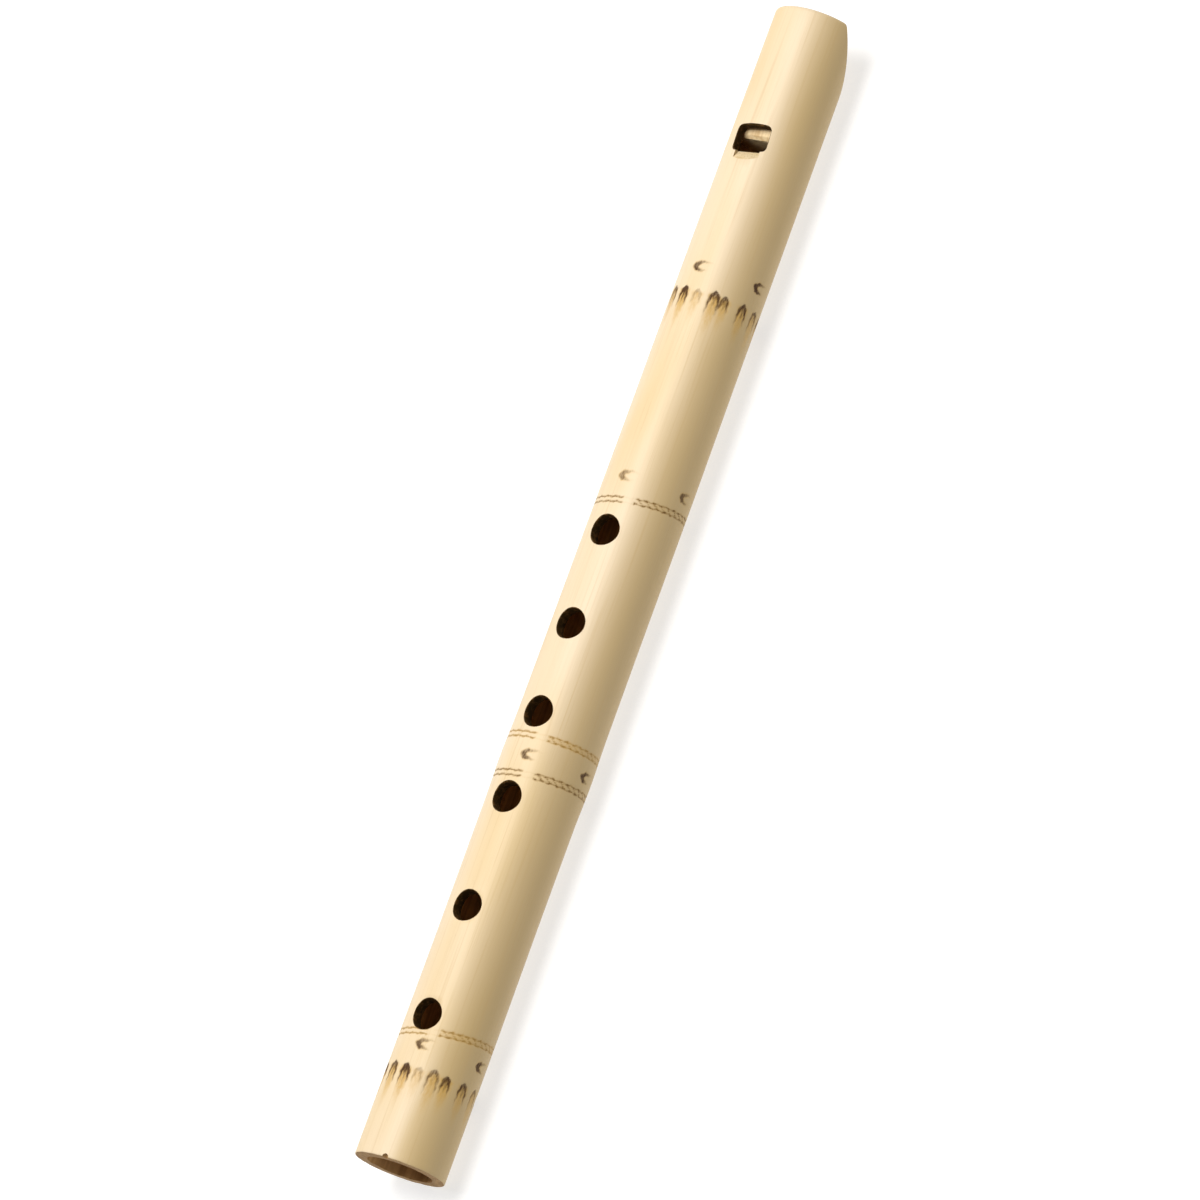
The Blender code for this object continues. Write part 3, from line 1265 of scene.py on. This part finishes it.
    def nick(self) -> bmesh.types.BMesh:
        """A small chip out of the sawn edge of the foot end.

        Returns:
            The shape that cuts it.
        """
        bm = bmesh.new()
        bmesh.ops.create_icosphere(bm, subdivisions=2, radius=1.0)
        bmesh.ops.scale(bm, verts=bm.verts[:], vec=self.nick_size)
        bmesh.ops.translate(bm, verts=bm.verts[:], vec=(0.0, 0.0, self.foot_radius))
        bmesh.ops.rotate(bm, verts=bm.verts[:], matrix=Matrix.Rotation(self.nick_angle, 3, "X"))
        bmesh.ops.translate(bm, verts=bm.verts[:], vec=self.on_axis(0.0))
        return bm

    def cut(
        self,
        target: bpy.types.Object,
        shapes: list[tuple[bmesh.types.BMesh, Surface]],
        materials: list[bpy.types.Material],
    ) -> None:
        """Takes shapes out of the target, and gives the cut walls their finish.

        Args:
            target: The object to cut.
            shapes: Each cutter, and the surface that it leaves.
            materials: The cane's materials.
        """
        cutters = []
        for bm, surface in shapes:
            for face in bm.faces:
                face.material_index = surface.value
            cutter = link("cutter", mesh_of(bm, "cutter"))
            for material in materials:
                cutter.data.materials.append(material)
            modifier = target.modifiers.new("cut", "BOOLEAN")
            modifier.operation = "DIFFERENCE"
            modifier.solver = "MANIFOLD"
            modifier.material_mode = "INDEX"
            modifier.object = cutter
            cutters.append(cutter)
        graph = bpy.context.evaluated_depsgraph_get()
        result = bpy.data.meshes.new_from_object(target.evaluated_get(graph))
        old = target.data
        target.modifiers.clear()
        target.data = result
        bpy.data.meshes.remove(old)
        for cutter in cutters:
            bpy.data.objects.remove(cutter, do_unlink=True)

    def burn(self, mesh: bpy.types.Mesh) -> None:
        """Draws the ornament on the skin, and sinks it a little into the cane.

        Args:
            mesh: The cut cane.
        """
        spots = np.empty(3 * len(mesh.vertices))
        mesh.vertices.foreach_get("co", spots)
        spots = spots.reshape(-1, 3)
        y, z = spots[:, 1], spots[:, 2] - self.axis_z
        radius = np.hypot(y, z)
        mean_radius = self.middle_radius / MM
        across = np.arctan2(-y, z) * mean_radius
        strokes = Strokes(across, (spots[:, 0] - self.foot_x) / MM, FULL_TURN * mean_radius)
        self.ornament.draw(strokes)
        skin = smooth_step((radius - self.mouth_radius + self.skin_depth) / self.skin_fade)
        char = np.clip(strokes.char, 0.0, 1.0) * skin
        toast = np.clip(strokes.toast, 0.0, 1.0) * skin
        for name, values in (("char", char), ("toast", toast)):
            layer = mesh.attributes.new(name, "FLOAT", "POINT")
            layer.data.foreach_set("value", values.astype(np.float32))
        sink = 1.0 - self.burn_depth * char / np.maximum(radius, MM)
        spots[:, 1] = y * sink
        spots[:, 2] = z * sink + self.axis_z
        mesh.vertices.foreach_set("co", spots.ravel())
        mesh.update()

    def unwrap(self, mesh: bpy.types.Mesh) -> None:
        """Lays the cane's surface out flat: once round is the width, and its length the height.

        Args:
            mesh: The cane.
        """
        layer = mesh.uv_layers.new(name="surface")
        for face in mesh.polygons:
            centre = face.center
            seam = math.atan2(-centre.y, centre.z - self.axis_z)
            for corner in face.loop_indices:
                spot = mesh.vertices[mesh.loops[corner].vertex_index].co
                angle = math.atan2(-spot.y, spot.z - self.axis_z)
                if angle - seam > math.pi:
                    angle -= FULL_TURN
                elif seam - angle > math.pi:
                    angle += FULL_TURN
                layer.data[corner].uv = (0.5 + angle / FULL_TURN, (spot.x - self.foot_x) / self.length)

    def build(self) -> bpy.types.Object:
        """Makes the whole cane.

        Returns:
            The finished piece.
        """
        materials = [FINISHES[surface].material() for surface in Surface]
        tube = self.turned()
        for material in materials:
            tube.data.materials.append(material)
        outline = self.hole_outline()
        shapes = [
            (self.flared_bar(outline, Matrix.Translation(self.on_axis(place))), Surface.SCORCHED)
            for place in self.holes_from_foot
        ]
        shapes += [
            (self.flared_bar(self.window_outline(), self.window_place()), Surface.SCORCHED),
            (self.ramp(), Surface.PARED),
            (self.beak(), Surface.PARED),
            (self.nick(), Surface.CUT),
        ]
        self.cut(tube, shapes, materials)
        self.burn(tube.data)
        self.unwrap(tube.data)
        tube.data.shade_smooth()
        tube.data.set_sharp_from_angle(angle=self.sharp_angle)
        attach(tube, "root")
        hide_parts("flute_tube")
        return tube


@dataclass
class FippleBlock:
    """The plug, with its flat windway floor, its chamfered end and its beak cut.

    Attributes:
        tube: The cane that holds it.
        windway_height: How far its flat lies below the roof of the bore.
        reach: How far it reaches past the near edge of the sound window.
        mouth_gap: How far its round end lies behind the mouth end of the cane.
        beak_step: How far its beak cut lies above that of the cane.
        bevel_from: The angle between two faces from which their edge is bevelled.
    """

    tube: FluteTube
    clearance: float = 0.08 * MM
    windway_height: float = 1.3 * MM
    reach: float = 2.4 * MM
    mouth_gap: float = 0.1 * MM
    beak_step: float = 0.04 * MM
    chamfer: float = 1.0 * MM
    edge: float = 0.18 * MM
    edge_segments: int = 3
    bevel_from: float = math.radians(25.0)
    sharp_angle: float = math.radians(30.0)
    sides: int = 160

    def build(self) -> bpy.types.Object:
        """Makes the plug.

        Returns:
            The finished piece.
        """
        tube = self.tube
        end = tube.length - tube.window_from_mouth - self.reach
        length = tube.length - end - self.mouth_gap
        radius = tube.bore_radius - self.clearance
        floor = tube.bore_radius - self.windway_height
        lying = Matrix.Rotation(0.5 * math.pi, 4, "Y")
        place = Matrix.Translation(tube.on_axis(end + 0.5 * length)) @ lying
        bm = bmesh.new()
        bmesh.ops.create_cone(
            bm, cap_ends=True, segments=self.sides, radius1=radius, radius2=radius, depth=length, matrix=place
        )
        heel, tip = tube.beak_flat()
        fall = tip - heel
        self.slice_off(bm, tube.on_axis(end, floor), Vector((0.0, 0.0, 1.0)))
        self.slice_off(bm, tube.on_axis(end + self.chamfer, floor), Vector((-1.0, 0.0, 1.0)))
        self.slice_off(bm, tip + Vector((0.0, 0.0, self.beak_step)), Vector((fall.z, 0.0, -fall.x)))
        sharp = [edge for edge in bm.edges if edge.calc_face_angle(0.0) > self.bevel_from]
        bmesh.ops.bevel(
            bm, geom=sharp, offset=self.edge, affect="EDGES",
            segments=self.edge_segments, profile=0.5, material=-1,
        )
        bmesh.ops.recalc_face_normals(bm, faces=bm.faces[:])
        block = link("wooden_plug", mesh_of(bm, "wooden_plug"))
        block.data.materials.append(PlugFinish().material())
        block.data.shade_smooth()
        block.data.set_sharp_from_angle(angle=self.sharp_angle)
        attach(block, "root")
        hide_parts("fipple_block")
        return block

    def slice_off(self, bm: bmesh.types.BMesh, point: Vector, outward: Vector) -> None:
        """Cuts off what lies beyond a plane, and closes the cut.

        Args:
            bm: The shape to cut.
            point: A point on the plane.
            outward: The plane's direction, towards what goes.
        """
        result = bmesh.ops.bisect_plane(
            bm, geom=bm.verts[:] + bm.edges[:] + bm.faces[:], plane_co=point,
            plane_no=outward.normalized(), clear_outer=True,
        )
        rim = [item for item in result["geom_cut"] if isinstance(item, bmesh.types.BMEdge)]
        bmesh.ops.edgeloop_fill(bm, edges=rim)


@dataclass(frozen=True)
class SoftLight:
    """A square soft light that faces the flute, with its power in watts."""

    name: str
    place: tuple[float, float, float]
    size: float
    power: float
    colour: Colour

    def build(self) -> None:
        """Hangs the light."""
        data = bpy.data.lights.new(self.name, "AREA")
        data.shape = "SQUARE"
        data.size = self.size
        data.energy = self.power
        data.color = self.colour
        light = link(self.name, data)
        light.location = self.place
        light.rotation_euler = (-Vector(self.place)).to_track_quat("-Z", "Y").to_euler()


@dataclass(frozen=True)
class Studio:
    """The pale floor, the soft lights and the camera.

    Attributes:
        axis_z: The height of the flute's axis.
        sky: The strength of the even light from all round.
        picture: The side of the picture in pixels.
        focal_pixels: The camera's focal length in pixels of the picture.
        near: The distance from which the camera sees.
        turn: How far the camera is turned round the flute, from above towards -Y.
        foot_tilt: How far it is tilted towards the foot end.
        roll: How far it is rolled, so that the flute lies aslant.
        middle_x: The column of the picture that shows the middle of the flute.
        middle_y: The row of the picture that shows it.
    """

    axis_z: float
    floor_size: float = 6.0
    floor_drop: float = 0.05 * MM
    sky: float = 0.20
    lights: tuple[SoftLight, ...] = (
        SoftLight("key", (0.20, 0.12, 1.48), 0.80, 27.5, (1.0, 0.98, 0.955)),
        SoftLight("side", (0.2, 1.4, 0.8), 1.0, 3.0, (1.0, 0.99, 0.97)),
    )
    picture: float = 1200.0
    focal_pixels: float = 10670.0
    sensor: float = 36.0
    distance: float = 2.561
    near: float = 0.05
    turn: float = math.radians(37.5)
    foot_tilt: float = math.radians(12.4)
    roll: float = math.radians(20.10)
    middle_x: float = 611.9
    middle_y: float = 589.3

    def lay_floor(self) -> None:
        """Lays the floor just below the flute."""
        bm = bmesh.new()
        bmesh.ops.create_grid(bm, x_segments=1, y_segments=1, size=0.5 * self.floor_size)
        bmesh.ops.translate(bm, verts=bm.verts[:], vec=(0.0, 0.0, -self.floor_drop))
        floor = link("floor", mesh_of(bm, "floor"))
        floor.data.materials.append(FloorFinish().material())

    def fill_sky(self) -> None:
        """Fills the studio with even white light."""
        world = bpy.data.worlds.new("studio")
        world.use_nodes = True
        background = world.node_tree.nodes["Background"]
        background.inputs["Color"].default_value = (1.0, 1.0, 1.0, 1.0)
        background.inputs["Strength"].default_value = self.sky
        bpy.context.scene.world = world

    def set_camera(self) -> None:
        """Sets the camera where it sees the flute as the photograph does."""
        tilt, turn = self.foot_tilt, self.turn
        back = Vector((-math.sin(tilt), -math.cos(tilt) * math.sin(turn), math.cos(tilt) * math.cos(turn)))
        along = Vector((1.0, 0.0, 0.0))
        straight_up = (along - back * along.dot(back)).normalized()
        straight_right = straight_up.cross(back)
        up = math.cos(self.roll) * straight_up - math.sin(self.roll) * straight_right
        right = up.cross(back)
        pixel = self.distance / self.focal_pixels
        centre = 0.5 * self.picture
        aside = right * (centre - self.middle_x) * pixel + up * (self.middle_y - centre) * pixel
        where = Vector((0.0, 0.0, self.axis_z)) + aside + back * self.distance
        data = bpy.data.cameras.new("camera")
        data.sensor_width = self.sensor
        data.lens = self.focal_pixels * self.sensor / self.picture
        data.clip_start = self.near
        camera = link("camera", data)
        camera.matrix_world = Matrix.Translation(where) @ Matrix((right, up, back)).transposed().to_4x4()
        bpy.context.scene.camera = camera

    def build(self) -> None:
        """Makes the floor, the lights and the camera, and keeps the picture's colours plain."""
        self.lay_floor()
        self.fill_sky()
        for light in self.lights:
            light.build()
        self.set_camera()
        bpy.context.scene.view_settings.view_transform = "Standard"


def main() -> None:
    """Builds the flute and its studio, and reports each piece."""
    tube = FluteTube()
    plug = FippleBlock(tube)
    studio = Studio(tube.axis_z)
    for piece in (tube.build(), plug.build()):
        LOG.info("%s: %d faces", piece.name, len(piece.data.polygons))
    studio.build()
    LOG.info("studio: floor, %d lights and camera", len(studio.lights))


if __name__ == "__main__":
    main()
